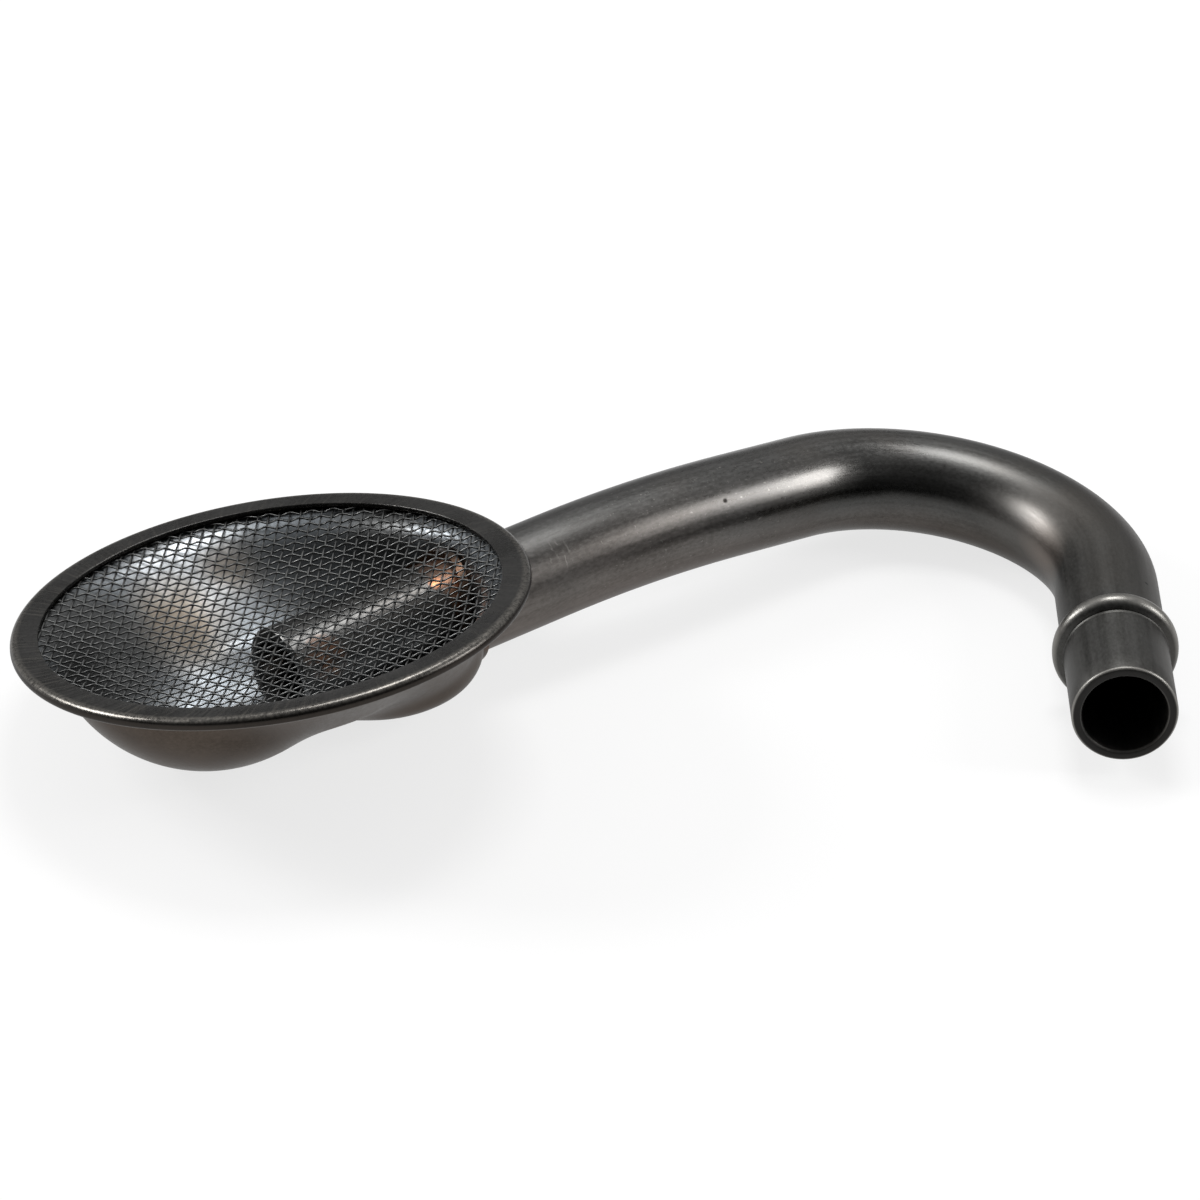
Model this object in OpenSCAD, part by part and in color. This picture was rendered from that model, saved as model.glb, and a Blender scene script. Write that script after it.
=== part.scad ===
// Oil pickup tube: a bent steel suction tube that carries a round strainer.
// The datum is on the outlet's axis at the front of its bead, and the part lies as it comes to rest on a bench.

/* [Tube] */
// Outside diameter of the tube
tube_od = 20; // [17:0.5:22]
// Wall thickness of the tube
tube_wall = 2; // [1:0.1:3]
// Straight length from the outlet mouth to the tight bend
outlet_run = 46.5; // [40:0.5:80]
// Centre-line radius of the tight bend
tight_bend_r = 37; // [32:0.5:50]
// Angle of the tight bend
tight_bend_angle = 126.4; // [110:0.1:140]
// Straight length between the two bends
middle_run = 17.2; // [5:0.1:60]
// Centre-line radius of the slight bend
slight_bend_r = 300; // [200:5:500]
// Angle of the slight bend
slight_bend_angle = 8.4; // [4:0.1:15]
// Straight length from the slight bend to the inlet mouth
inlet_run = 61.2; // [58:0.1:100]
// Turn about the tube from the plane of the tight bend to that of the slight bend
slight_bend_roll = -87.7; // [-100:0.1:-70]
// How much thinner the wall gets on each face where the tube is bent
bend_thinning = 0.02; // [0.01:0.01:0.1]
// Length over which a straight run blends into a bend
run_lap = 0.4; // [0.2:0.1:0.8]
// Bevel on the edges of the outlet mouth
mouth_bevel = 0.5; // [0.2:0.1:0.8]

/* [Outlet bead] */
// Diameter over the rolled bead
bead_d = 24; // [23:0.5:30]
// Length of the bead along the tube
bead_w = 4.5; // [3:0.5:8]
// Distance from the outlet mouth to the middle of the bead
bead_at = 24; // [12:0.5:34]

/* [Strainer rim] */
// Outside diameter of the folded rim
rim_d = 97.4; // [94:0.2:120]
// Width of the lip folded over the screen
lip_w = 5.4; // [3:0.2:7]
// Sheet thickness of the shell
sheet = 0.9; // [0.6:0.1:1.2]
// Height of the gap in the fold that takes the screen's edge
fold_gap = 0.7; // [0.6:0.1:1.2]
// Outside radius of the fold's two corners
fold_r = 0.9; // [0.4:0.1:1.1]
// Turn about the tube from the plane of the slight bend to the rim's normal
strainer_roll = 99.8; // [85:0.1:115]

/* [Strainer shell] */
// Outside diameter of the shallow pan under the rim
pan_d = 80; // [76:0.5:84]
// Depth of the pan's floor below the top of the rim
pan_depth = 10.4; // [8:0.1:14]
// Outside corner radius of the pan
pan_corner = 3.5; // [2:0.5:5]
// Diameter of the bowl where it meets the rim
bowl_d = 58.8; // [50:0.2:64]
// Depth of the bowl below the top of the rim
bowl_depth = 26.2; // [20:0.1:30]
// Room between the bowl's mouth and the inner edge of the lip
bowl_edge = 0.3; // [0:0.1:3]
// Diameter of the round pocket that the tube enters
pocket_d = 36; // [34:0.5:42]
// Outside corner radius of the pocket
pocket_corner = 8.6; // [4:0.1:9]
// How far the pocket's end stands out past the pan's wall
pocket_past = 0.8; // [0.4:0.1:2]
// Room between the tube and the pocket's floor
pocket_gap = 1.1; // [0.5:0.1:4]

/* [Tube in the strainer] */
// Depth of the tube's axis below the top of the rim
tube_depth = 15.9; // [15:0.1:20]
// How far the inlet mouth passes the middle of the strainer
inlet_past = 0.5; // [-4:0.1:6]
// Room for braze between the tube and the sheet around it
braze_gap = 0.2; // [0.1:0.05:0.4]
// Size of the braze fillet on the tube and on the sheet
braze_fillet = 1.5; // [0.8:0.1:2.5]

/* [Screen] */
// Thickness of the screen's edge in the fold
screen_t = 0.5; // [0.3:0.1:0.6]
// Room between the screen's edge and the fold
screen_room = 0.5; // [0.2:0.1:1]
// Pitch of the openings in the screen
mesh_pitch = 7; // [6.8:0.1:12]
// Width of each opening
mesh_gap = 5.4; // [4:0.1:6]
// Thickness of the wire ridges
wire_d = 0.9; // [0.7:0.1:1.2]
// How far the wires of one direction lie above those of the other
wire_step = 0.4; // [0.2:0.1:0.6]
// Room between the ends of the wires and the lip
wire_room = 0.5; // [0.3:0.1:1]

/* [Rest] */
// Lean of the part about the outlet axis as it lies on a bench
rest_roll = 4.29; // [-10:0.01:15]
// Rise of the outlet axis as the part lies on a bench
rest_rise = 3.25; // [-5:0.01:10]

/* [Hidden] */
$fn = 96;
tube_r = tube_od / 2;
bore_r = tube_r - tube_wall;
spigot_l = bead_at - bead_w / 2;
rim_r = rim_d / 2;
lip_r = rim_r - lip_w;
rim_h = 2 * sheet + fold_gap;
flange_top = rim_h - sheet;
hole_r = tube_r + braze_gap;
bowl_x = -(lip_r - bowl_edge - bowl_d / 2);
bowl_rise = bowl_depth - rim_h;
bowl_r = (pow(bowl_d / 2, 2) + pow(bowl_rise, 2)) / (2 * bowl_rise);
pocket_r = pocket_d / 2;
pocket_x = pan_d / 2 + pocket_past - pocket_r;
pocket_depth = tube_depth + tube_r + pocket_gap + sheet;
screen_r = rim_r - sheet - screen_room;
screen_z = -(sheet + fold_gap / 2);
wire_reach = lip_r - wire_room;
mesh_n = floor(lip_r / mesh_pitch);

// Places along the route, which starts at the outlet mouth and runs along +X
module past_run(l) {
    translate([l, 0, 0]) children();
}
module past_bend(angle, r) {
    translate([0, r, 0]) rotate([0, 0, angle]) translate([0, -r, 0]) children();
}
module at_rest() {
    rotate([rest_roll, rest_rise, 90]) translate([-spigot_l, 0, 0]) children();
}
module at_tight_bend() {
    past_run(outlet_run) children();
}
module at_middle_run() {
    at_tight_bend() past_bend(tight_bend_angle, tight_bend_r) children();
}
module at_slight_bend() {
    at_middle_run() past_run(middle_run) rotate([slight_bend_roll, 0, 0]) children();
}
module at_inlet_run() {
    at_slight_bend() past_bend(slight_bend_angle, slight_bend_r) children();
}

// The strainer's own frame: lip top at z = 0, tube leaving along +X
module at_strainer() {
    at_rest() at_inlet_run() past_run(inlet_run) rotate([strainer_roll, 0, 0])
        translate([-inlet_past, 0, tube_depth]) rotate([0, 0, 180]) children();
}

// Tube stock
module tube_section(thinning = 0) {
    difference() {
        circle(r = tube_r - thinning);
        circle(r = bore_r + thinning);
    }
}
module run(from, to) {
    translate([from, 0, 0]) rotate([0, 90, 0]) linear_extrude(to - from) tube_section();
}
module bend(angle, r) {
    translate([0, r, 0]) rotate([0, 0, -90])
        rotate_extrude(angle = angle) translate([r, 0]) tube_section(bend_thinning);
}

// Outlet end: rolled bead and a bevelled mouth, revolved about the tube's axis
module outlet_end() {
    mid_r = (tube_r + bore_r) / 2;
    crown_r = bead_d / 2 - bead_w / 2;
    rotate([90, 0, 90]) rotate_extrude() {
        polygon([
            [bore_r + mouth_bevel, 0], [tube_r - mouth_bevel, 0], [tube_r, mouth_bevel],
            [tube_r, outlet_run + run_lap], [bore_r, outlet_run + run_lap], [bore_r, mouth_bevel]
        ]);
        intersection() {
            translate([mid_r, bead_at - bead_w / 2]) square([bead_d / 2, bead_w]);
            union() {
                translate([crown_r, bead_at]) circle(r = bead_w / 2);
                translate([0, bead_at - bead_w / 2]) square([crown_r, bead_w]);
            }
        }
    }
}
module suction_tube() {
    color("dimgray") at_rest() {
        outlet_end();
        at_tight_bend() bend(tight_bend_angle, tight_bend_r);
        at_middle_run() run(-run_lap, middle_run + run_lap);
        at_slight_bend() bend(slight_bend_angle, slight_bend_r);
        at_inlet_run() run(-run_lap, inlet_run);
    }
}

// A round pan hanging below the rim, with a rounded corner; in is how far inside its outer face it lies
module drum(r, top, depth, corner, in = 0) {
    ri = r - in;
    floor_z = in - depth;
    ci = corner - in;
    rotate_extrude() intersection() {
        translate([0, floor_z]) square([ri, -top - floor_z]);
        union() {
            translate([0, floor_z + ci]) square([ri, -top - floor_z - ci]);
            translate([0, floor_z]) square([ri - ci, ci]);
            translate([ri - ci, floor_z + ci]) circle(r = ci);
        }
    }
}
module bowl(top, in = 0) {
    intersection() {
        translate([bowl_x, 0, bowl_r - bowl_depth]) sphere(r = bowl_r - in);
        translate([0, 0, -bowl_depth - sheet]) cylinder(r = rim_r, h = bowl_depth + sheet - top);
    }
}

// Half-round groove that the tube lies in between the bowl and the pocket
module groove(in = 0) {
    r = hole_r + sheet - in;
    l = pocket_x + inlet_past;
    translate([-inlet_past, 0, -tube_depth]) {
        rotate([0, 90, 0]) cylinder(r = r, h = l);
        translate([0, -r, 0]) cube([l, 2 * r, tube_depth - rim_h]);
        sphere(r = r);
    }
}
module pressing(top, in = 0) {
    drum(pan_d / 2, top, pan_depth, pan_corner, in);
    bowl(top, in);
    translate([pocket_x, 0, 0]) drum(pocket_r, top, pocket_depth, pocket_corner, in);
    groove(in);
}

// Flange with its edge folded up and over the screen
module rim() {
    rotate_extrude() {
        translate([0, -rim_h]) square([rim_r - fold_r, sheet]);
        difference() {
            union() {
                translate([lip_r, -rim_h]) square([lip_w - fold_r, rim_h]);
                translate([lip_r, fold_r - rim_h]) square([lip_w, rim_h - 2 * fold_r]);
                for (z = [-fold_r, fold_r - rim_h]) translate([rim_r - fold_r, z]) circle(r = fold_r);
            }
            translate([0, -flange_top]) square([rim_r - sheet, fold_gap]);
        }
    }
}
module tube_hole(r) {
    translate([pocket_x, 0, -tube_depth]) rotate([0, 90, 0]) cylinder(r = r, h = rim_r);
}
module shell_form() {
    difference() {
        union() {
            rim();
            pressing(flange_top + sheet / 2);
        }
        pressing(flange_top - fold_gap / 2, sheet);
        tube_hole(hole_r);
    }
}
module strainer_shell() {
    color("gray") at_strainer() shell_form();
}

// Braze that fills the gap round the tube and stands up as a fillet on both sides of the sheet
module braze_ring() {
    color("peru") at_strainer() difference() {
        intersection() {
            tube_hole(tube_r + braze_fillet);
            translate([pocket_x, 0, 0]) difference() {
                drum(pocket_r + braze_fillet, rim_h, pocket_depth + braze_fillet, pocket_corner + braze_fillet);
                drum(pocket_r, 0, pocket_depth, pocket_corner, sheet + braze_fillet);
            }
        }
        tube_hole(tube_r);
        shell_form();
    }
}

// Screen: a disc clamped in the fold, with square openings and round wires over and under it
module mesh_openings() {
    half = mesh_gap / 2;
    for (i = [-mesh_n : mesh_n - 1], j = [-mesh_n : mesh_n - 1]) {
        x = (i + 0.5) * mesh_pitch;
        y = (j + 0.5) * mesh_pitch;
        if (norm([abs(x) + half, abs(y) + half]) < wire_reach)
            translate([x - half, y - half]) square(mesh_gap);
    }
}
module wires(z, limit) {
    n = floor(limit / mesh_pitch);
    for (i = [-n : n]) {
        reach = sqrt(pow(limit, 2) - pow(i * mesh_pitch, 2));
        translate([-reach, i * mesh_pitch, z]) rotate([0, 90, 0]) cylinder(d = wire_d, h = 2 * reach);
    }
}
module wire_screen() {
    color("silver") at_strainer() translate([0, 0, screen_z]) rotate([0, 0, 45]) {
        translate([0, 0, -screen_t / 2]) linear_extrude(screen_t) difference() {
            circle(r = screen_r);
            mesh_openings();
        }
        wires(wire_step / 2, wire_reach);
        rotate([0, 0, 90]) wires(-wire_step / 2, pan_d / 2 - sheet - wire_room);
    }
}

suction_tube();
strainer_shell();
braze_ring();
wire_screen();
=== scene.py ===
"""Oil pickup tube: a bent steel suction tube with a beaded outlet, brazed into a pressed strainer
that a woven wire screen closes. Lengths below are in millimetres; MM turns them into metres."""
import math

import bmesh
import bpy
from mathutils import Matrix, Vector


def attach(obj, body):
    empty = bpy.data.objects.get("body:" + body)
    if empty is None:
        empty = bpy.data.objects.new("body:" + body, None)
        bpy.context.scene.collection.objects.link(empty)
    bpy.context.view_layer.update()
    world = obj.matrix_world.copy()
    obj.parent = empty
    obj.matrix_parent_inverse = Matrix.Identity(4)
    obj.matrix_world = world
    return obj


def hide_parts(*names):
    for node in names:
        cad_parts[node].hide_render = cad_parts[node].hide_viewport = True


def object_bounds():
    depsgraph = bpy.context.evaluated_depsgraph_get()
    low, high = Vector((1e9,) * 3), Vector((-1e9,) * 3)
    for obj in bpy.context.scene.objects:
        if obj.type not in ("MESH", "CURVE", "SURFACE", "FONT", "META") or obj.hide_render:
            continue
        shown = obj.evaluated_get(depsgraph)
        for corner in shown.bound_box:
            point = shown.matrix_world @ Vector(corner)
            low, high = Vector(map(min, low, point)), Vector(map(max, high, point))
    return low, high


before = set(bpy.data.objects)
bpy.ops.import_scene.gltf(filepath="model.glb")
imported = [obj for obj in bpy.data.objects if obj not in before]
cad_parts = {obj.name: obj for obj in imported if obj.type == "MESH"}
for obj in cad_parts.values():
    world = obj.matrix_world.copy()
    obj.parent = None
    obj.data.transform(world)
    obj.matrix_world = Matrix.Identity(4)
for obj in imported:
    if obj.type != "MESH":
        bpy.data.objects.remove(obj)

cad_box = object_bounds()
MM = 0.001

# ---------------------------------------------------------------- sizes

# The tube, as in the part's source
TUBE_R, BORE_R = 10.0, 8.0
OUTLET_RUN, MIDDLE_RUN, INLET_RUN = 46.5, 17.2, 61.2
TIGHT_R, TIGHT_ANGLE = 37.0, 126.4
SLIGHT_R, SLIGHT_ANGLE, SLIGHT_ROLL = 300.0, 8.4, -87.7
BEAD_R, BEAD_W, BEAD_AT = 12.0, 4.5, 24.0
REST_ROLL, REST_RISE = 4.29, 3.25       # how the part lies on the floor
CLEAR_OF_TUBE = 13.0                    # further from the tube's axis than any point of the tube

# The tube's rounded ends, as steps along the axis and the radius after each
MOUTH_IN, MOUTH_OUT = 0.5, 0.55
MOUTH_ROUND = ((-0.28, 8.12), (-0.22, 8.45), (0.0, 9.4), (0.10, 9.68), (0.18, 9.88), (0.27, TUBE_R))
INLET_ROUND = ((0.3, 9.75), (0.0, 8.15), (-0.2, BORE_R))

# The strainer: rim, bowl, groove and hole as in the source; pan, dish and pocket fitted to the photograph
RIM_R, LIP_R, RIM_H, SHEET = 48.7, 43.3, 2.5, 0.9
FLANGE_R, SHEET_END_R, HEM_START_R = 46.4, 45.2, 44.2
PAN_R, PAN_X, PAN_DEPTH, PAN_CORNER = 34.5, 6.0, 10.4, 3.5
DISH_R, DISH_TOP, DISH_FLOOR_R, DISH_FLOOR_X, DISH_DEPTH = 42.0, 3.0, 22.0, 3.0, 18.6
BOWL_R, BOWL_X, BOWL_DEPTH = 30.085, -13.6, 26.2
POCKET_R, POCKET_X, POCKET_DEPTH, POCKET_CORNER = 18.5, 23.1, 27.9, 8.6
TUBE_DEPTH, INLET_PAST, STRAINER_ROLL = 15.9, 0.5, 99.8
GROOVE_R, GROOVE_PAST, HOLE_R = 11.1, 8.0, 10.2
HOLE_SIDE_X = 30.0                      # only the wall beyond this is cut for the tube
COARSE_FACE, FINE_FACE = 1.4, 0.62      # face sizes while the hollows are filled, and at the end
FILL_PASSES, SOFTEN_PASSES = 140, 26

# The screen
SCREEN_Z, SCREEN_REACH, SCREEN_SAG = -1.25, 46.6, 3.0
WIRE_R, WARP_PITCH, WEFT_PITCH, WARP_HEADING = 0.185, 2.22, 2.06, 139.0
WARP_CRIMP, WEFT_CRIMP = 0.28, 0.10
SHORTEST_HALF, WANDER = 2.0, 0.09


# ---------------------------------------------------------------- places along the tube

def turn(axis, degrees):
    return Matrix.Rotation(math.radians(degrees), 4, axis)


def move(x=0.0, y=0.0, z=0.0):
    return Matrix.Translation((x * MM, y * MM, z * MM))


def past_bend(angle, radius):
    return move(y=radius) @ turn("Z", angle) @ move(y=-radius)


OUTLET = turn("Z", 90) @ turn("Y", REST_RISE) @ turn("X", REST_ROLL) @ move(-(BEAD_AT - BEAD_W / 2))
TIGHT_BEND = OUTLET @ move(OUTLET_RUN)
MIDDLE = TIGHT_BEND @ past_bend(TIGHT_ANGLE, TIGHT_R)
SLIGHT_BEND = MIDDLE @ move(MIDDLE_RUN) @ turn("X", SLIGHT_ROLL)
INLET = SLIGHT_BEND @ past_bend(SLIGHT_ANGLE, SLIGHT_R)
INLET_MOUTH = INLET @ move(INLET_RUN)
BRAZE_AT = 214.0          # length along the tube where it passes the shell's wall
INLET_AT = 189.3          # length along the tube where its last straight run begins
STRAINER = INLET_MOUTH @ turn("X", STRAINER_ROLL) @ move(-INLET_PAST, 0, TUBE_DEPTH) @ turn("Z", 180)


# ---------------------------------------------------------------- material building

class Nodes:
    """A node tree under construction."""

    def __init__(self, tree):
        self.tree = tree

    def node(self, kind, **settings):
        made = self.tree.nodes.new(kind)
        for key, value in settings.items():
            setattr(made, key, value)
        return made

    def link(self, source, target):
        self.tree.links.new(source, target)

    def spread(self, value, low, high, to_low=0.0, to_high=1.0):
        """The range from low to high stretched over another range, and held at its ends."""
        spread = self.node("ShaderNodeMapRange")
        for key, number in (("From Min", low), ("From Max", high), ("To Min", to_low), ("To Max", to_high)):
            spread.inputs[key].default_value = number
        self.link(value, spread.inputs["Value"])
        return spread.outputs["Result"]

    def ramp(self, length, start, end, to_start=0.0, to_end=1.0):
        """The same for a length, with its range in millimetres."""
        return self.spread(length, start * MM, end * MM, to_start, to_end)

    def reckon(self, operation, first, second=0.0):
        made = self.node("ShaderNodeMath", operation=operation)
        for socket, value in zip(made.inputs, (first, second)):
            if isinstance(value, (int, float)):
                socket.default_value = value
            else:
                self.link(value, socket)
        return made.outputs["Value"]

    def total(self, *weighted):
        """Weighted sum of several values."""
        result = 0.0
        for value, weight in weighted:
            result = self.reckon("ADD", self.reckon("MULTIPLY", value, weight), result)
        return result

    def product(self, *values):
        result = values[0]
        for value in values[1:]:
            result = self.reckon("MULTIPLY", result, value)
        return result

    def most(self, *values):
        """The largest of several values."""
        result = values[0]
        for value in values[1:]:
            result = self.reckon("MAXIMUM", result, value)
        return result

    def gap(self, length, place):
        """How far a length is from a place along it, on either side."""
        return self.reckon("ABSOLUTE", self.reckon("SUBTRACT", length, place * MM))

    def parts(self, vector):
        """The vector's three lengths."""
        apart = self.node("ShaderNodeSeparateXYZ")
        self.link(vector, apart.inputs["Vector"])
        return apart.outputs["X"], apart.outputs["Y"], apart.outputs["Z"]


class Finish(Nodes):
    """A material: one principled surface and the nodes that drive it."""

    def __init__(self, name, metallic, roughness, glancing=1.0):
        self.material = bpy.data.materials.new(name)
        self.material.use_nodes = True
        super().__init__(self.material.node_tree)
        self.surface = self.tree.nodes["Principled BSDF"]
        self.surface.inputs["Metallic"].default_value = metallic
        self.surface.inputs["Roughness"].default_value = roughness
        self.surface.inputs["Specular Tint"].default_value = (glancing, glancing, glancing, 1.0)

    def object_place(self):
        return self.node("ShaderNodeTexCoord").outputs["Object"]

    def own_attribute(self, name):
        return self.node("ShaderNodeAttribute", attribute_name=name).outputs["Vector"]

    def mapped(self, vector, scale=(1, 1, 1), shift=(0, 0, 0), rotation=(0, 0, 0)):
        mapping = self.node("ShaderNodeMapping")
        mapping.inputs["Scale"].default_value = scale
        mapping.inputs["Location"].default_value = shift
        mapping.inputs["Rotation"].default_value = rotation
        self.link(vector, mapping.inputs["Vector"])
        return mapping.outputs["Vector"]

    def noise(self, vector, scale, detail, roughness):
        noise = self.node("ShaderNodeTexNoise")
        noise.inputs["Scale"].default_value = scale
        noise.inputs["Detail"].default_value = detail
        noise.inputs["Roughness"].default_value = roughness
        self.link(vector, noise.inputs["Vector"])
        return noise.outputs["Fac"]

    def reach(self, vector):
        length = self.node("ShaderNodeVectorMath", operation="LENGTH")
        self.link(vector, length.inputs[0])
        return length.outputs["Value"]

    def blend(self, share, first, second):
        """From the first colour to the second by a share."""
        mix = self.node("ShaderNodeMix", data_type="RGBA")
        self.link(share, mix.inputs["Factor"])
        for socket, value in ((mix.inputs[6], first), (mix.inputs[7], second)):
            if isinstance(value, tuple):
                socket.default_value = (*value, 1.0)
            else:
                self.link(value, socket)
        return mix.outputs[2]

    def near(self, vector, point, radius, soft):
        """1 inside a ball round a point, fading to 0 over its soft edge."""
        distance = self.node("ShaderNodeVectorMath", operation="DISTANCE")
        self.link(vector, distance.inputs[0])
        distance.inputs[1].default_value = tuple(value * MM for value in point)
        return self.ramp(distance.outputs["Value"], radius, radius + soft, 1.0, 0.0)

    def bump(self, height, strength, distance):
        bump = self.node("ShaderNodeBump")
        bump.inputs["Strength"].default_value = strength
        bump.inputs["Distance"].default_value = distance * MM
        self.link(height, bump.inputs["Height"])
        self.link(bump.outputs["Normal"], self.surface.inputs["Normal"])

    def colour(self, value):
        self.link(value, self.surface.inputs["Base Color"])

    def rough(self, value):
        self.link(value, self.surface.inputs["Roughness"])


# ---------------------------------------------------------------- the tube's steel

TONE_LOW, TONE_HIGH = 0.39, 0.61        # between these the mixed grain runs from dark to pale


class TubeFinish(Finish):
    """The tube's steel, placed by tube_line: length from the mouth, then side and height across the tube."""

    def __init__(self):
        super().__init__("drawn_steel", metallic=1.0, roughness=0.3, glancing=0.76)
        self.line = self.own_attribute("tube_line")
        self.long_line = self.mapped(self.line, (0.4, 1, 1))        # for marks drawn out along the tube
        self.length, self.side, self.height = self.parts(self.line)
        self.across = self.reach(self.mapped(self.line, (0, 1, 1)))
        self.streaks = self.noise(self.mapped(self.line, (9, 520, 520)), 1.0, 5.0, 0.6)
        self.clouds = self.noise(self.mapped(self.line, (34, 70, 70)), 1.0, 5.0, 0.6)
        self.broad = self.noise(self.mapped(self.line, (20, 45, 45)), 1.0, 2.0, 0.5)
        self.grain = self.noise(self.mapped(self.line, (0.5, 1, 1)), 1900.0, 4.0, 0.65)
        self.tone = self.total((self.streaks, 0.34), (self.clouds, 0.34), (self.grain, 0.32))
        self.shade = self.spread(self.tone, TONE_LOW, TONE_HIGH)
        self.outlet = self.ramp(self.length, 106, 72)
        self.heated = self.product(self.ramp(self.length, 132, 185), self.ramp(self.length, 220, 216))
        # A matt spot on the bend, also painted paler as a highlight.
        self.matt_and_highlight = self.near(self.long_line, (28.4, 8.9, 4.5), 2.0, 6.0)
        self.crest = self.product(self.ramp(self.across, 11.1, 11.9),
                                  self.spread(self.clouds, 0.3, 0.6, 0.5, 1.0))
        self.pits = self.most(self.near(self.line, (152.9, 7.4, 6.7), 0.26, 0.34),
                              self.near(self.line, (36.0, -5.6, 8.3), 0.20, 0.35))


def plain_tube(steel):
    """Dark steel with warmer clouds in it."""
    colour = steel.blend(steel.shade, (0.052, 0.051, 0.049), (0.122, 0.121, 0.118))
    warm = steel.spread(steel.noise(steel.line, 26.0, 3.0, 0.5), 0.48, 0.68, 0.0, 0.55)
    return steel.blend(warm, colour, (0.108, 0.096, 0.086))


def bend_marks_and_shade(steel, colour):
    """The flank inside the tight bend: browner and darker low down, the darkening painted shade, with a band of
    painted shade above that.
    """
    # Lower front flank: browner, and darkened as painted shade.
    low = steel.product(steel.ramp(steel.side, 0.5, 5.0), steel.ramp(steel.length, 50, 75),
                        steel.ramp(steel.height, 0.5, -4.5), steel.spread(steel.broad, 0.35, 0.6, 0.55, 1.0))
    brown = steel.blend(steel.shade, (0.056, 0.046, 0.040), (0.092, 0.077, 0.067))
    colour = steel.blend(low, colour, brown)
    # Painted shade: a dark band along the front flank, above the brown.
    painted_dark_band = steel.product(steel.ramp(steel.side, 4.5, 8.5), steel.ramp(steel.length, 66, 100),
                            steel.ramp(steel.length, 118, 150, 1.0, 0.0),
                            steel.spread(steel.broad, 0.3, 0.6, 0.55, 0.85),
                            steel.ramp(steel.gap(steel.height, 3.4), 0.4, 6.0, 1.0, 0.0))
    return steel.blend(painted_dark_band, colour, (0.016, 0.016, 0.015))


def heat_marks_and_sheen(steel, colour):
    """Greyer at the outlet; towards the joint browner from the heat of the brazing, and paler on the front flank
    as a painted sheen.
    """
    colour = steel.blend(steel.product(steel.outlet, 0.42), colour, (0.040, 0.039, 0.035))
    # Heat tint near the joint, also painted paler on the front flank as a sheen.
    heat_tint_and_sheen = steel.product(steel.heated, steel.ramp(steel.side, 3, 8),
                            steel.spread(steel.broad, 0.3, 0.65, 0.25, 0.65))
    dull = steel.blend(steel.spread(steel.tone, 0.42, 0.58), (0.125, 0.109, 0.098), (0.215, 0.190, 0.174))
    return steel.blend(heat_tint_and_sheen, colour, dull)


def painted_bend_highlights(steel, colour):
    """Painted highlights on the tight bend, one at each of its two ends, and a matt spot beside its end that is
    also painted paler as a highlight.
    """
    # Painted highlight where the tight bend begins.
    begins = steel.product(steel.near(steel.long_line, (52.4, 7.8, 6.3), 1.2, 4.8),
                           steel.spread(steel.streaks, 0.3, 0.65, 0.2, 0.5))
    colour = steel.blend(begins, colour, (0.250, 0.238, 0.226))
    # Painted sheen on the flank where the tight bend ends.
    ends = steel.near(steel.long_line, (24.0, 9.6, 2.0), 1.5, 4.0)
    colour = steel.blend(steel.product(ends, 0.5), colour, (0.240, 0.198, 0.170))
    # The matt spot, painted paler as a highlight.
    return steel.blend(steel.product(steel.matt_and_highlight, 0.42), colour, (0.230, 0.218, 0.206))


def copper_marks_and_glint(steel, colour):
    """Copper that ran along the tube from the joint, a splash of it near the inlet, and a painted copper
    highlight.
    """
    ragged = steel.spread(steel.noise(steel.line, 260.0, 4.0, 0.6), 0.3, 0.7, -2.2 * MM, 2.2 * MM)
    from_joint = steel.reckon("ADD", steel.gap(steel.length, BRAZE_AT), ragged)
    wash = steel.ramp(from_joint, 1.4, 3.6, 0.65, 0.0)
    splash = steel.product(steel.near(steel.line, (245.0, 7.2, 6.9), 2.0, 2.8), 0.9,
                           steel.spread(steel.noise(steel.line, 420.0, 3.0, 0.6), 0.35, 0.6))
    colour = steel.blend(steel.most(wash, splash), colour, (0.23, 0.115, 0.065))
    # Painted highlight: a bright copper spot on top of the tube at the joint.
    return steel.blend(steel.near(steel.line, (217.0, 3.0, 9.5), 0.5, 1.2), colour, (0.46, 0.20, 0.10))


def worn_marks(steel, colour):
    """Bare nicks on the first bend, ticks of a clamp near the strainer, the bead's crest and the mouth's edge."""
    dots = steel.noise(steel.mapped(steel.line, (1, 1, 1), (0.3, 0.1, 0)), 1500.0, 2.0, 0.5)
    nicks = steel.product(steel.near(steel.line, (158.0, 3.0, 8.5), 22.0, 14.0), 0.6,
                          steel.spread(dots, 0.66, 0.74))
    uneven = steel.spread(steel.noise(steel.line, 520.0, 2.0, 0.5), 0.3, 0.7, -0.4 * MM, 0.4 * MM)
    tick_pitch = 1.45
    waves = steel.reckon("SINE", steel.reckon("MULTIPLY", steel.reckon("ADD", steel.length, uneven),
                                              2 * math.pi / (tick_pitch * MM)))
    ticks = steel.product(steel.spread(waves, 0.60, 0.98), steel.near(steel.line, (191.0, 6.6, 7.4), 1.9, 1.6),
                          0.55, steel.spread(steel.noise(steel.line, 700.0, 2.0, 0.5), 0.48, 0.60))
    mouth_edge = steel.product(steel.ramp(steel.length, 0.07, 0.16), steel.ramp(steel.length, 0.7, 0.4),
                               steel.ramp(steel.across, 8.5, 9.3))
    bare = steel.most(nicks, ticks, steel.crest, mouth_edge)
    return steel.blend(steel.product(bare, 0.65), colour, (0.32, 0.31, 0.29))


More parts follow.
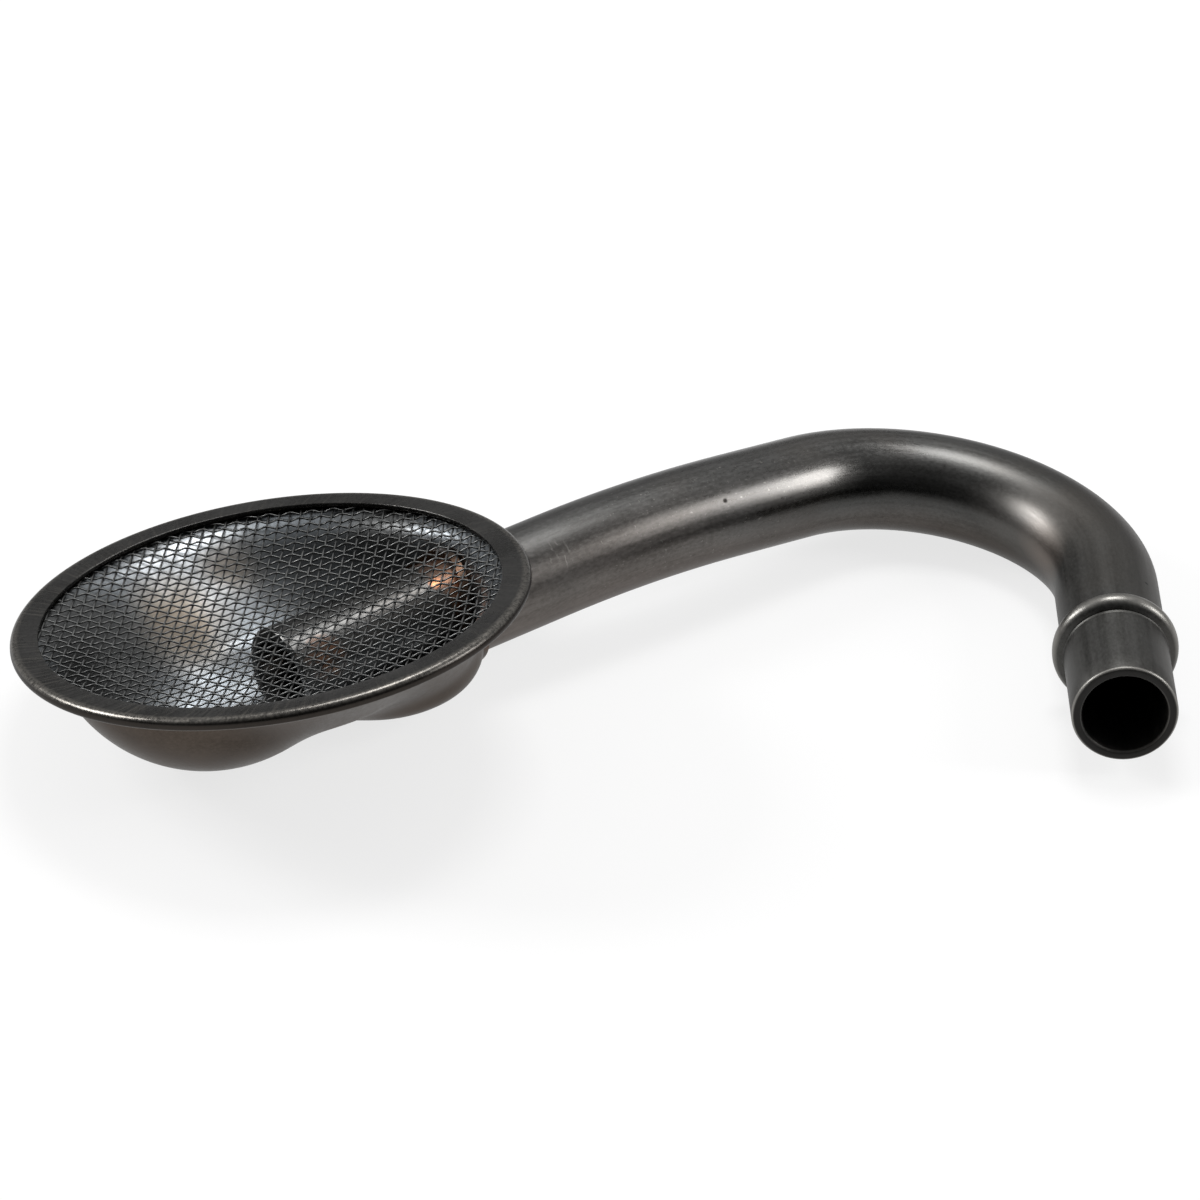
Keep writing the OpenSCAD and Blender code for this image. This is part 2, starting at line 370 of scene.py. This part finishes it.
def drawn_steel():
    """Dark drawn tube: lengthwise streaks, mottled grain, the marks of bending, brazing and wear, and painted
    highlights, sheen and shade.
    """
    steel = TubeFinish()
    colour = plain_tube(steel)
    for marks in (bend_marks_and_shade, heat_marks_and_sheen, painted_bend_highlights, copper_marks_and_glint, worn_marks):
        colour = marks(steel, colour)
    colour = steel.blend(steel.pits, colour, (0.012, 0.011, 0.010))
    cut_face = steel.ramp(steel.length, 0.02, 0.08, 0.85, 0.0)
    steel.colour(steel.blend(cut_face, colour, (0.018, 0.0175, 0.017)))
    straight_end = steel.ramp(steel.length, 52, 38)
    steel.rough(steel.total((steel.spread(steel.tone, TONE_LOW, TONE_HIGH, 0.21, 0.34), 1.0),
                            (steel.heated, 0.10), (steel.matt_and_highlight, 0.05), (steel.outlet, 0.09),
                            (straight_end, 0.09), (steel.crest, -0.15)))
    steel.bump(steel.total((steel.streaks, 0.5), (steel.grain, 0.6), (steel.pits, -2.5)), 0.14, 0.09)
    return steel.material


# ---------------------------------------------------------------- the strainer's materials

def strainer_frame(finish):
    """Coordinates of the strainer itself: x along the tube, z through the screen, from the rim's centre."""
    back = STRAINER.inverted()
    return finish.mapped(finish.object_place(), (1, 1, 1), back.to_translation(), back.to_euler())


def pressed_steel():
    """Outside of the pressed sheet: satin grey-brown, with a scratched lip and a rolled edge painted with
    highlights and shade.
    """
    steel = Finish("pressed_steel", metallic=1.0, roughness=0.34, glancing=0.70)
    place = strainer_frame(steel)
    along, side, height = steel.parts(place)
    radius = steel.reach(steel.mapped(place, (1, 1, 0)))
    clouds = steel.noise(place, 75.0, 5.0, 0.6)
    grain = steel.noise(place, 1500.0, 4.0, 0.65)
    tone = steel.spread(steel.total((clouds, 0.55), (grain, 0.45)), TONE_LOW, TONE_HIGH)
    colour = steel.blend(tone, (0.057, 0.045, 0.036), (0.096, 0.077, 0.063))
    # The lip: greyer, with scratches that run across it and are thickest at the end away from the tube
    lip = steel.product(steel.ramp(height, -1.2, -0.5), steel.ramp(radius, 42.4, 43.0))
    lip_colour = steel.blend(tone, (0.036, 0.035, 0.034), (0.068, 0.067, 0.065))
    slanted = steel.node("ShaderNodeCombineXYZ")
    steel.link(steel.total((steel.reckon("ARCTAN2", side, along), 62.0), (radius, 420.0)), slanted.inputs["X"])
    steel.link(steel.product(radius, 60.0), slanted.inputs["Y"])
    scratches = steel.noise(slanted.outputs["Vector"], 1.0, 5.0, 0.7)
    worn = steel.ramp(along, -36, -12, 1.0, 0.3)
    dark_scratches = steel.product(steel.spread(scratches, 0.52, 0.66), worn, 0.75)
    lip_colour = steel.blend(dark_scratches, lip_colour, (0.016, 0.015, 0.014))
    pale_scratches = steel.product(steel.spread(scratches, 0.47, 0.36), worn, 0.65)
    lip_colour = steel.blend(pale_scratches, lip_colour, (0.15, 0.14, 0.125))
    colour = steel.blend(lip, colour, lip_colour)
    # The rolled edge: burnished on its crest and painted bright there as a highlight, painted dark on its flank
    # as shade, and painted pale at its foot as a highlight
    outside = steel.ramp(radius, 46.9, 47.5)
    crest = steel.product(outside, steel.ramp(height, -0.75, -0.35), steel.spread(grain, 0.40, 0.60, 0.25, 0.85))
    flank = steel.product(outside, steel.ramp(height, -0.5, -0.85), steel.ramp(height, -2.25, -1.9), 0.75)
    foot = steel.product(steel.ramp(radius, 45.8, 46.6), steel.ramp(height, -1.95, -2.3), 0.4)
    colour = steel.blend(flank, colour, (0.020, 0.019, 0.018))
    steel.colour(steel.blend(steel.most(crest, foot), colour, (0.17, 0.16, 0.145)))
    off_lip = steel.reckon("SUBTRACT", 1.0, lip)
    steel.rough(steel.total((tone, 0.12), (off_lip, 0.23), (scratches, 0.10), (lip, 0.18)))
    steel.bump(steel.total((clouds, 0.4), (grain, 0.5), (steel.product(scratches, lip), 0.8)), 0.12, 0.10)
    return steel.material


def sheet_inside_painted_light():
    """Inside of the pressed sheet: painted paler and bluer than the outside, with painted bright and warm
    reflections and patches of painted shade.
    """
    steel = Finish("sheet_inside_painted_light", metallic=1.0, roughness=0.4)
    place = strainer_frame(steel)
    clouds = steel.noise(place, 90.0, 4.0, 0.6)
    grain = steel.noise(place, 1300.0, 4.0, 0.65)
    # Painted light: the whole inside is paler and bluer than the sheet's outside, with a painted bright
    # reflection on the far wall.
    painted_bright_patch = steel.product(steel.near(place, (5.0, 38.0, -7.0), 8.0, 9.0),
                          steel.spread(grain, 0.35, 0.6, 0.4, 0.75))
    colour = steel.blend(painted_bright_patch, (0.190, 0.206, 0.220), (0.420, 0.435, 0.450))
    # Painted warm reflections.
    painted_warm_reflection = steel.most(steel.near(place, (-4.0, 29.0, -12.5), 5.0, 8.0),
                       steel.product(steel.near(place, (11.0, 34.0, -8.5), 2.5, 5.0), 0.7))
    painted_warm_reflection = steel.product(painted_warm_reflection, steel.spread(clouds, 0.35, 0.55, 0.4, 1.0))
    colour = steel.blend(painted_warm_reflection, colour, (0.285, 0.238, 0.185))
    # Painted shade: dark patches on the left wall and beside the tube's entry; the clouds add an uneven dull
    # tone.
    patches = steel.most(steel.near(place, (-25.0, 26.0, -8.0), 11.0, 9.0),
                         steel.near(place, (37.0, 18.0, -5.0), 5.0, 7.0))
    dull = steel.most(steel.product(patches, 0.85), steel.spread(clouds, 0.44, 0.70, 0.0, 0.75))
    steel.colour(steel.blend(dull, colour, (0.085, 0.085, 0.083)))
    steel.rough(steel.spread(steel.total((clouds, 0.5), (grain, 0.5)), 0.36, 0.64, 0.30, 0.42))
    steel.bump(grain, 0.08, 0.08)
    return steel.material


def screen_wire():
    """Drawn wire, dulled in patches."""
    wire = Finish("screen_wire", metallic=1.0, roughness=0.32)
    place = wire.object_place()
    patches = wire.total((wire.noise(place, 60.0, 4.0, 0.55), 0.5), (wire.noise(place, 700.0, 3.0, 0.6), 0.5))
    shade = wire.spread(patches, 0.38, 0.62)
    wire.colour(wire.blend(shade, (0.080, 0.081, 0.080), (0.155, 0.157, 0.155)))
    wire.rough(wire.spread(patches, 0.38, 0.62, 0.26, 0.40))
    wire.bump(wire.noise(place, 2600.0, 2.0, 0.5), 0.10, 0.05)
    return wire.material


def furnace_copper():
    """Copper braze: dark all round, with a painted highlight on top of the tube."""
    copper = Finish("furnace_copper", metallic=1.0, roughness=0.34)
    place = copper.object_place()
    mottle = copper.noise(place, 210.0, 5.0, 0.6)
    # Painted highlight: a bright copper spot on top of the tube.
    painted_glint = INLET @ turn("X", -SLIGHT_ROLL) @ Vector(((BRAZE_AT + 1.0 - INLET_AT) * MM, 3.4 * MM, 9.6 * MM))
    colour = copper.blend(copper.spread(mottle, 0.38, 0.62), (0.115, 0.068, 0.045), (0.060, 0.050, 0.042))
    copper.colour(copper.blend(copper.near(place, painted_glint / MM, 0.8, 2.2), colour, (0.34, 0.155, 0.08)))
    copper.rough(copper.spread(mottle, 0.3, 0.7, 0.26, 0.46))
    copper.bump(copper.noise(place, 700.0, 3.0, 0.5), 0.15, 0.2)
    return copper.material


# ---------------------------------------------------------------- mesh building

def make_piece(name, mesh, material, node, sharp=38.0):
    """An object on the body root that shows the mesh in place of a CAD node."""
    mesh.materials.append(material)
    mesh.shade_smooth()
    mesh.set_sharp_from_angle(angle=math.radians(sharp))
    piece = bpy.data.objects.new(name, mesh)
    bpy.context.scene.collection.objects.link(piece)
    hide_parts(node)
    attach(piece, "root")


def mesh_of(bm, name):
    mesh = bpy.data.meshes.new(name)
    bm.to_mesh(mesh)
    bm.free()
    return mesh


def edges_between(geometry, verts):
    """The edges in an operator's result that join two of the vertices."""
    own = set(verts)
    return [item for item in geometry if isinstance(item, bmesh.types.BMEdge)
            and item.verts[0] in own and item.verts[1] in own]


class Pipe:
    """One wall of the tube, drawn on from a ring: straight by extruding it, round a bend by spinning it."""

    def __init__(self, bm, place, radius, sides=96):
        self.bm, self.place, self.radius = bm, place, radius
        ring = bmesh.ops.create_circle(bm, segments=sides, radius=radius * MM,
                                       matrix=place @ turn("Y", 90))["verts"]
        self.edges = list({edge for vert in ring for edge in vert.link_edges})

    def on(self, length, radius=None):
        """A straight length further, to another radius if one is given."""
        radius = radius or self.radius
        ring = bmesh.ops.extrude_edge_only(self.bm, edges=self.edges)["geom"]
        share = radius / self.radius
        target = self.place @ move(length)
        change = target @ Matrix.Diagonal((1, share, share, 1)) @ self.place.inverted()
        verts = [item for item in ring if isinstance(item, bmesh.types.BMVert)]
        bmesh.ops.transform(self.bm, matrix=change, verts=verts)
        self.edges = edges_between(ring, verts)
        self.place, self.radius = target, radius

    def round_bend(self, angle, bend_r, steps):
        centre = self.place @ Vector((0, bend_r * MM, 0))
        axis = self.place.to_3x3() @ Vector((0, 0, 1))
        verts = list({vert for edge in self.edges for vert in edge.verts})
        last = bmesh.ops.spin(self.bm, geom=verts + self.edges, cent=centre, axis=axis,
                              angle=math.radians(angle), steps=steps, dvec=(0, 0, 0))["geom_last"]
        self.edges = [item for item in last if isinstance(item, bmesh.types.BMEdge)]
        self.place = self.place @ past_bend(angle, bend_r)

    def roll(self, degrees):
        self.place = self.place @ turn("X", degrees)

    def straight(self, length, rings):
        for _ in range(rings):
            self.on(length / rings)


TUBE_RUNS = ((OUTLET, "run", OUTLET_RUN, 0), (TIGHT_BEND, "bend", TIGHT_ANGLE, TIGHT_R),
             (MIDDLE, "run", MIDDLE_RUN, 0), (SLIGHT_BEND, "bend", SLIGHT_ANGLE, SLIGHT_R),
             (INLET, "run", INLET_RUN, 0))


def tube_line(point):
    """Where a point of the tube would lie if the tube were straight: length along it, then across."""
    at = 0.0
    for place, kind, size, radius in TUBE_RUNS:
        x, y, z = place.inverted() @ point
        back = turn("X", SLIGHT_ROLL) if place in (SLIGHT_BEND, INLET) else Matrix.Identity(4)
        if kind == "run":
            length = size * MM
            if -0.002 * MM <= x <= length + 0.002 * MM and math.hypot(y, z) < CLEAR_OF_TUBE * MM:
                return back @ Vector((at + x, y, z))
        else:
            length = math.radians(size) * radius * MM
            angle = math.atan2(x, radius * MM - y)
            off = radius * MM - math.hypot(x, radius * MM - y)
            if -1e-4 <= angle <= math.radians(size) + 1e-4 and math.hypot(off, z) < CLEAR_OF_TUBE * MM:
                return back @ Vector((at + angle * radius * MM, off, z))
        at += length
    return Vector((at, 0, 0))


def bead_height(at):
    """How far the bead stands off the tube at a length from the mouth: a round crown with a small step
    before it and a soft foot behind it."""
    half = BEAD_W / 2
    across = abs(at - BEAD_AT) / half
    crown = math.sqrt(max(0.0, 1 - min(1.0, across) ** 2)) * (BEAD_R - TUBE_R)
    step = 0.2 * max(0.0, 1 - abs(at - (BEAD_AT - half - 0.35)) / 0.4)
    foot = 0.15 * max(0.0, 1 - abs(at - (BEAD_AT + half)) / 0.6)
    return max(crown, step, foot)


def make_suction_tube():
    """The tube's wall as one chain of rings: out of the bore, round the mouth, along the outside
    and back inside."""
    bm = bmesh.new()
    wall = Pipe(bm, OUTLET @ move(MOUTH_IN), BORE_R)
    for length, radius in MOUTH_ROUND:
        wall.on(length, radius)
    near, far = BEAD_AT - BEAD_W / 2 - 0.85, BEAD_AT + BEAD_W / 2 + 0.75
    wall.straight(near - MOUTH_OUT, 4)
    rings = 36
    for ring in range(1, rings + 1):
        wall.on((far - near) / rings, TUBE_R + bead_height(near + (far - near) * ring / rings))
    wall.straight(OUTLET_RUN - far, 5)
    wall.round_bend(TIGHT_ANGLE, TIGHT_R, 56)
    wall.straight(MIDDLE_RUN, 4)
    wall.roll(SLIGHT_ROLL)
    wall.round_bend(SLIGHT_ANGLE, SLIGHT_R, 12)
    wall.straight(INLET_RUN - INLET_ROUND[0][0], 6)
    for length, radius in INLET_ROUND:
        wall.on(length, radius)
    wall.straight(-INLET_ROUND[-1][0] - INLET_RUN, 6)
    wall.round_bend(-SLIGHT_ANGLE, SLIGHT_R, 12)
    wall.roll(-SLIGHT_ROLL)
    wall.straight(-MIDDLE_RUN, 4)
    wall.round_bend(-TIGHT_ANGLE, TIGHT_R, 56)
    wall.straight(MOUTH_IN - OUTLET_RUN, 6)
    bmesh.ops.remove_doubles(bm, verts=bm.verts, dist=0.004 * MM)
    bmesh.ops.recalc_face_normals(bm, faces=bm.faces)
    mesh = mesh_of(bm, "suction_tube_skin")
    line = mesh.attributes.new("tube_line", "FLOAT_VECTOR", "POINT")
    for vert in mesh.vertices:
        line.data[vert.index].vector = tube_line(vert.co)
    make_piece("suction_tube_skin", mesh, drawn_steel(), "suction_tube")


# ---------------------------------------------------------------- the strainer's shell

def drum(bm, radius, depth, corner, x, top):
    """A round pressing with a rounded floor edge."""
    height = depth + top
    made = bmesh.ops.create_cone(bm, cap_ends=True, segments=128, radius1=radius * MM, radius2=radius * MM,
                                 depth=height * MM, matrix=move(x, 0, top - height / 2))["verts"]
    low = [vert for vert in made if vert.co.z < (0.5 - depth) * MM]
    edges = list({edge for vert in low for edge in vert.link_edges
                  if all(end.co.z < (0.5 - depth) * MM for end in edge.verts)})
    bmesh.ops.bevel(bm, geom=edges, offset=corner * MM, segments=8, profile=0.5, affect="EDGES", material=-1)


def slope(bm, top, floor):
    """A sloping wall between two level circles, each given by its centre's x, its depth and its radius."""
    middle = (top[1] + floor[1]) / 2
    made = bmesh.ops.create_cone(bm, cap_ends=True, segments=128, radius1=floor[2] * MM, radius2=top[2] * MM,
                                 depth=(floor[1] - top[1]) * MM, matrix=move(top[0], 0, -middle))["verts"]
    low = [vert for vert in made if vert.co.z < -middle * MM]
    bmesh.ops.translate(bm, verts=low, vec=((floor[0] - top[0]) * MM, 0, 0))


def groove(bm):
    """The channel in which the tube's end lies: half round below, upright above."""
    length = POCKET_X + GROOVE_PAST
    middle = POCKET_X - length / 2
    bmesh.ops.create_cone(bm, cap_ends=True, segments=64, radius1=GROOVE_R * MM, radius2=GROOVE_R * MM,
                          depth=length * MM, matrix=move(middle, 0, -TUBE_DEPTH) @ turn("Y", 90))
    bmesh.ops.create_cube(bm, size=1.0, matrix=move(middle, 0, -TUBE_DEPTH / 2)
                          @ Matrix.Diagonal((length * MM, 2 * GROOVE_R * MM, TUBE_DEPTH * MM, 1)))


def pressing():
    """The dish, pan, bowl, pocket and tube groove drawn as one sheet, with soft blends."""
    bm = bmesh.new()
    drum(bm, FLANGE_R, RIM_H, 0.3, 0.0, 5.0)
    drum(bm, PAN_R, PAN_DEPTH, PAN_CORNER, PAN_X, 4.0)
    slope(bm, (0.0, DISH_TOP, DISH_R), (DISH_FLOOR_X, DISH_DEPTH, DISH_FLOOR_R))
    drum(bm, POCKET_R, POCKET_DEPTH, POCKET_CORNER, POCKET_X, 3.0)
    slope(bm, (PAN_X, PAN_DEPTH - 2.0, PAN_R - 0.4), (POCKET_X, POCKET_DEPTH - 4.5, POCKET_R - 2.5))
    bmesh.ops.create_uvsphere(bm, u_segments=96, v_segments=64, radius=BOWL_R * MM,
                              matrix=move(BOWL_X, 0, BOWL_R - BOWL_DEPTH))
    groove(bm)
    bmesh.ops.recalc_face_normals(bm, faces=bm.faces)
    bm = one_sheet(bm, COARSE_FACE)
    fill_hollows(bm)
    return one_sheet(bm, FINE_FACE)


def one_sheet(bm, face_size):
    """The overlapping forms joined into one closed surface of even faces."""
    blank = bpy.data.objects.new("blank", mesh_of(bm, "blank"))
    bpy.context.scene.collection.objects.link(blank)
    remesh = blank.modifiers.new("one_sheet", "REMESH")
    remesh.mode = "VOXEL"
    remesh.voxel_size = face_size * MM
    sheet = bpy.data.meshes.new_from_object(blank.evaluated_get(bpy.context.evaluated_depsgraph_get()))
    bpy.data.objects.remove(blank)
    joined = bmesh.new()
    joined.from_mesh(sheet)
    bpy.data.meshes.remove(sheet)
    return joined


def smooth(bm, verts):
    bmesh.ops.smooth_vert(bm, verts=verts, factor=0.5, use_axis_x=True, use_axis_y=True, use_axis_z=True)


def fill_hollows(bm):
    """Rounds out the inside corners between pan, bowl and pocket, as the sheet draws. The crowns, the rim
    and the wall round the tube's hole are left alone."""
    free = [vert for vert in bm.verts
            if vert.co.z < -6.5 * MM and (vert.co.x < 28 * MM or abs(vert.co.y) > 14 * MM)]
    for _ in range(FILL_PASSES):
        bm.normal_update()
        before = [vert.co.copy() for vert in free]
        smooth(bm, free)
        for vert, place in zip(free, before):
            if (vert.co - place).dot(vert.normal) < 0:
                vert.co = place


def cut_tube_hole(bm):
    """Opens the pocket's end wall for the tube and trues the hole's edge to a circle."""
    hole = [vert for vert in bm.verts if vert.co.x > HOLE_SIDE_X * MM
            and math.hypot(vert.co.y, vert.co.z + TUBE_DEPTH * MM) < HOLE_R * MM]
    bmesh.ops.delete(bm, geom=hole, context="VERTS")
    for vert in bm.verts:
        if vert.is_boundary and vert.co.x > HOLE_SIDE_X * MM and vert.co.z < -4 * MM:
            y, z = vert.co.y, vert.co.z + TUBE_DEPTH * MM
            share = HOLE_R * MM / math.hypot(y, z)
            vert.co.y, vert.co.z = y * share, z * share - TUBE_DEPTH * MM


def make_strainer_shell():
    """The pressing given its thickness, with the folded rim. Its inside has a material of its own, painted paler.
    """
    bm = pressing()
    for _ in range(SOFTEN_PASSES):
        smooth(bm, bm.verts)
    bmesh.ops.recalc_face_normals(bm, faces=bm.faces)
    outer = [vert for vert in bm.verts
             if vert.co.z > (0.25 - RIM_H) * MM or math.hypot(vert.co.x, vert.co.y) > SHEET_END_R * MM]
    bmesh.ops.delete(bm, geom=outer, context="VERTS")
    cut_tube_hole(bm)
    loose = [vert for vert in bm.verts if not vert.link_faces]
    bmesh.ops.delete(bm, geom=loose, context="VERTS")
    outside = set(bm.faces)
    bmesh.ops.solidify(bm, geom=bm.faces[:], thickness=(SHEET - 0.06) * MM)
    for face in bm.faces:
        face.material_index = 0 if face in outside else 1
    add_hem(bm)
    bmesh.ops.transform(bm, matrix=STRAINER, verts=bm.verts)
    mesh = mesh_of(bm, "strainer_shell_skin")
    make_piece("strainer_shell_skin", mesh, pressed_steel(), "strainer_shell")
    mesh.materials.append(sheet_inside_painted_light())


def arc(radius, height, size, start, end, steps):
    """Points of a rounded corner, in radius and height, from one angle to another."""
    angles = [math.radians(start + (end - start) * step / steps) for step in range(steps + 1)]
    return [(radius + size * math.cos(angle), height + size * math.sin(angle)) for angle in angles]


def add_hem(bm):
    """The sheet's edge folded up and over the screen, spun from its section."""
    fold_in = RIM_R - SHEET
    section = [(HEM_START_R, -RIM_H), (45.5, -RIM_H)]
    section += arc(RIM_R - RIM_H / 2, -RIM_H / 2, RIM_H / 2, -90, 90, 14)
    section += arc(LIP_R + 0.2, -0.2, 0.2, 90, 180, 3)
    section += arc(LIP_R + 0.2, -SHEET + 0.2, 0.2, 180, 270, 3)
    section += [(fold_in, -SHEET), (fold_in, SHEET - RIM_H), (HEM_START_R, SHEET - RIM_H)]
    made = bmesh.new()
    verts = [made.verts.new((radius * MM, 0, height * MM)) for radius, height in section]
    edges = [made.edges.new((verts[index], verts[index - 1])) for index in range(len(verts))]
    bmesh.ops.spin(made, geom=verts + edges, cent=(0, 0, 0), axis=(0, 0, 1), angle=math.tau, steps=192,
                   use_merge=True, dvec=(0, 0, 0))
    bmesh.ops.remove_doubles(made, verts=made.verts, dist=0.001 * MM)
    bmesh.ops.recalc_face_normals(made, faces=made.faces)
    hem = mesh_of(made, "hem")
    bm.from_mesh(hem)
    bpy.data.meshes.remove(hem)


# ---------------------------------------------------------------- the screen and the braze

def crimped_wire(reach, crossing, crimp):
    """One straight wire of the weave, long enough for the middle row, waved over and under the wires
    it crosses."""
    bm = bmesh.new()
    ring = bmesh.ops.create_circle(bm, segments=6, radius=WIRE_R * MM, matrix=turn("Y", 90))["verts"]
    edges = list({edge for vert in ring for edge in vert.link_edges})
    step = crossing / 4

    def wave(x):
        return crimp * math.cos(math.pi * x / crossing)

    bmesh.ops.translate(bm, verts=ring, vec=(-reach * MM, 0, wave(-reach) * MM))
    for index in range(1, round(2 * reach / step) + 1):
        made = bmesh.ops.extrude_edge_only(bm, edges=edges)["geom"]
        verts = [item for item in made if isinstance(item, bmesh.types.BMVert)]
        at = index * step - reach
        bmesh.ops.translate(bm, verts=verts, vec=(step * MM, 0, (wave(at) - wave(at - step)) * MM))
        edges = edges_between(made, verts)
    return mesh_of(bm, "crimped_wire")


def add_wires(woven, heading, pitch, crossing, crimp, first_under):
    """One set of parallel wires, each trimmed where the rim grips it."""
    wire = crimped_wire(crossing * math.ceil(SCREEN_REACH / crossing), crossing, crimp)
    rows = int(SCREEN_REACH / pitch)
    for row in range(-rows, rows + 1):
        half = math.sqrt(max(0.0, SCREEN_REACH ** 2 - (row * pitch) ** 2))
        if half < SHORTEST_HALF:
            continue
        bm = bmesh.new()
        bm.from_mesh(wire)
        if (row % 2 == 1) != first_under:
            bmesh.ops.transform(bm, matrix=Matrix.Diagonal((1, 1, -1, 1)), verts=bm.verts)
        for side in (-1, 1):
            bmesh.ops.bisect_plane(bm, geom=bm.verts[:] + bm.edges[:] + bm.faces[:], dist=1e-7,
                                   plane_co=(side * half * MM, 0, 0), plane_no=(side, 0, 0), clear_outer=True)
        bmesh.ops.holes_fill(bm, edges=[edge for edge in bm.edges if edge.is_boundary], sides=0)
        bmesh.ops.transform(bm, matrix=turn("Z", heading) @ move(0, row * pitch, SCREEN_Z), verts=bm.verts)
        bmesh.ops.recalc_face_normals(bm, faces=bm.faces)
        one = mesh_of(bm, "row")
        woven.from_mesh(one)
        bpy.data.meshes.remove(one)
    bpy.data.meshes.remove(wire)


def make_wire_screen():
    """Both sets of wires, pressed flat in the fold, sagging in the middle and wandering a little."""
    woven = bmesh.new()
    add_wires(woven, WARP_HEADING, WARP_PITCH, WEFT_PITCH, WARP_CRIMP, False)
    add_wires(woven, WARP_HEADING - 90, WEFT_PITCH, WARP_PITCH, WEFT_CRIMP, True)
    for vert in woven.verts:
        x, y = vert.co.x / MM, vert.co.y / MM
        if math.hypot(x, y) > LIP_R - 0.5:
            vert.co.z = SCREEN_Z * MM + 0.6 * (vert.co.z - SCREEN_Z * MM)
        vert.co.z -= SCREEN_SAG * MM * max(0.0, 1 - (x * x + y * y) / (LIP_R - 0.4) ** 2)
        vert.co.x += WANDER * MM * math.sin(0.31 * y + 0.7 * math.sin(0.17 * x))
        vert.co.y += WANDER * MM * math.sin(0.27 * x + 0.8 * math.sin(0.21 * y))
    bmesh.ops.transform(woven, matrix=STRAINER, verts=woven.verts)
    mesh = mesh_of(woven, "wire_screen_weave")
    make_piece("wire_screen_weave", mesh, screen_wire(), "wire_screen", sharp=80.0)


def dress_braze_ring():
    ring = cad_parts["braze_ring"]
    ring.data.materials.clear()
    ring.data.materials.append(furnace_copper())


make_suction_tube()
make_strainer_shell()
make_wire_screen()
dress_braze_ring()


# ---------------------------------------------------------------- floor, light and camera

MIDDLE_OF_PART = Vector((-0.09, 0.0, 0.0))
LAMP_DISTANCE = 0.9
FLOOR_HALF, FLOOR_GAP = 3.0, 0.00002
PAPER_WHITE = 0.75                      # share of plain white in the floor; the rest takes the shadow

# The camera that was fitted to the photograph's outlines
CAMERA_AT = (-0.12086, -0.95016, 0.62241)
CAMERA_TURN = (57.1272, -2.1782, 0.023)
CAMERA_LENS, CAMERA_SENSOR = 180.77, 36.0


def white_paper():
    """Matt white floor that looks white itself and in the metal, and still takes a soft shadow."""
    paper = Finish("white_paper", metallic=0.0, roughness=0.9)
    paper.surface.inputs["Base Color"].default_value = (0.9, 0.9, 0.9, 1)
    white = paper.node("ShaderNodeEmission")
    white.inputs["Strength"].default_value = 1.0
    path = paper.node("ShaderNodeLightPath").outputs
    seen = paper.most(path["Is Camera Ray"], path["Is Glossy Ray"], path["Is Transmission Ray"])
    both = paper.node("ShaderNodeMixShader")
    paper.link(paper.product(seen, PAPER_WHITE), both.inputs["Fac"])
    paper.link(paper.surface.outputs["BSDF"], both.inputs[1])
    paper.link(white.outputs["Emission"], both.inputs[2])
    paper.link(both.outputs["Shader"], paper.tree.nodes["Material Output"].inputs["Surface"])
    return paper.material


def make_floor():
    bm = bmesh.new()
    bmesh.ops.create_grid(bm, x_segments=1, y_segments=1, size=FLOOR_HALF)
    bmesh.ops.translate(bm, verts=bm.verts, vec=(-0.1, 0, cad_box[0][2] - FLOOR_GAP))
    mesh = mesh_of(bm, "floor")
    mesh.materials.append(white_paper())
    floor = bpy.data.objects.new("floor", mesh)
    bpy.context.scene.collection.objects.link(floor)


def add_softbox(name, heading, elevation, width, height, brightness):
    """A soft lamp aimed at the part; heading 0 is the part's right, 90 behind it."""
    across = math.cos(math.radians(elevation))
    towards = Vector((across * math.cos(math.radians(heading)), across * math.sin(math.radians(heading)),
                      math.sin(math.radians(elevation))))
    data = bpy.data.lights.new(name, "AREA")
    data.shape = "RECTANGLE"
    data.size, data.size_y, data.energy = width, height, brightness * math.pi * width * height
    lamp = bpy.data.objects.new(name, data)
    lamp.location = MIDDLE_OF_PART + LAMP_DISTANCE * towards
    lamp.rotation_euler = (-towards).to_track_quat("-Z", "Y").to_euler()
    bpy.context.scene.collection.objects.link(lamp)


def make_studio():
    """Room light that falls off towards the viewer and towards the horizon, so that the steel's front
    and flanks stay dark."""
    world = bpy.data.worlds.new("studio")
    world.use_nodes = True
    room = Nodes(world.node_tree)
    _, depth, height = room.parts(room.node("ShaderNodeTexCoord").outputs["Generated"])
    level = room.product(room.spread(depth, -0.7, 0.6, 0.12, 0.75), room.spread(height, 0.05, 0.5, 0.4, 1.0))
    background = world.node_tree.nodes["Background"]
    background.inputs["Color"].default_value = (1, 1, 1, 1)
    room.link(level, background.inputs["Strength"])
    bpy.context.scene.world = world


def make_camera():
    lens = bpy.data.cameras.new("camera")
    lens.lens, lens.sensor_width = CAMERA_LENS, CAMERA_SENSOR
    camera = bpy.data.objects.new("camera", lens)
    camera.location = CAMERA_AT
    camera.rotation_euler = tuple(math.radians(value) for value in CAMERA_TURN)
    bpy.context.scene.collection.objects.link(camera)
    bpy.context.scene.camera = camera


make_floor()
make_studio()
add_softbox("overhead", heading=86, elevation=69, width=0.34, height=0.30, brightness=11.0)
add_softbox("left", heading=168, elevation=30, width=0.28, height=0.32, brightness=19.0)
add_softbox("right", heading=2, elevation=29, width=0.28, height=0.36, brightness=9.5)
make_camera()
bpy.context.scene.view_settings.view_transform = "Standard"
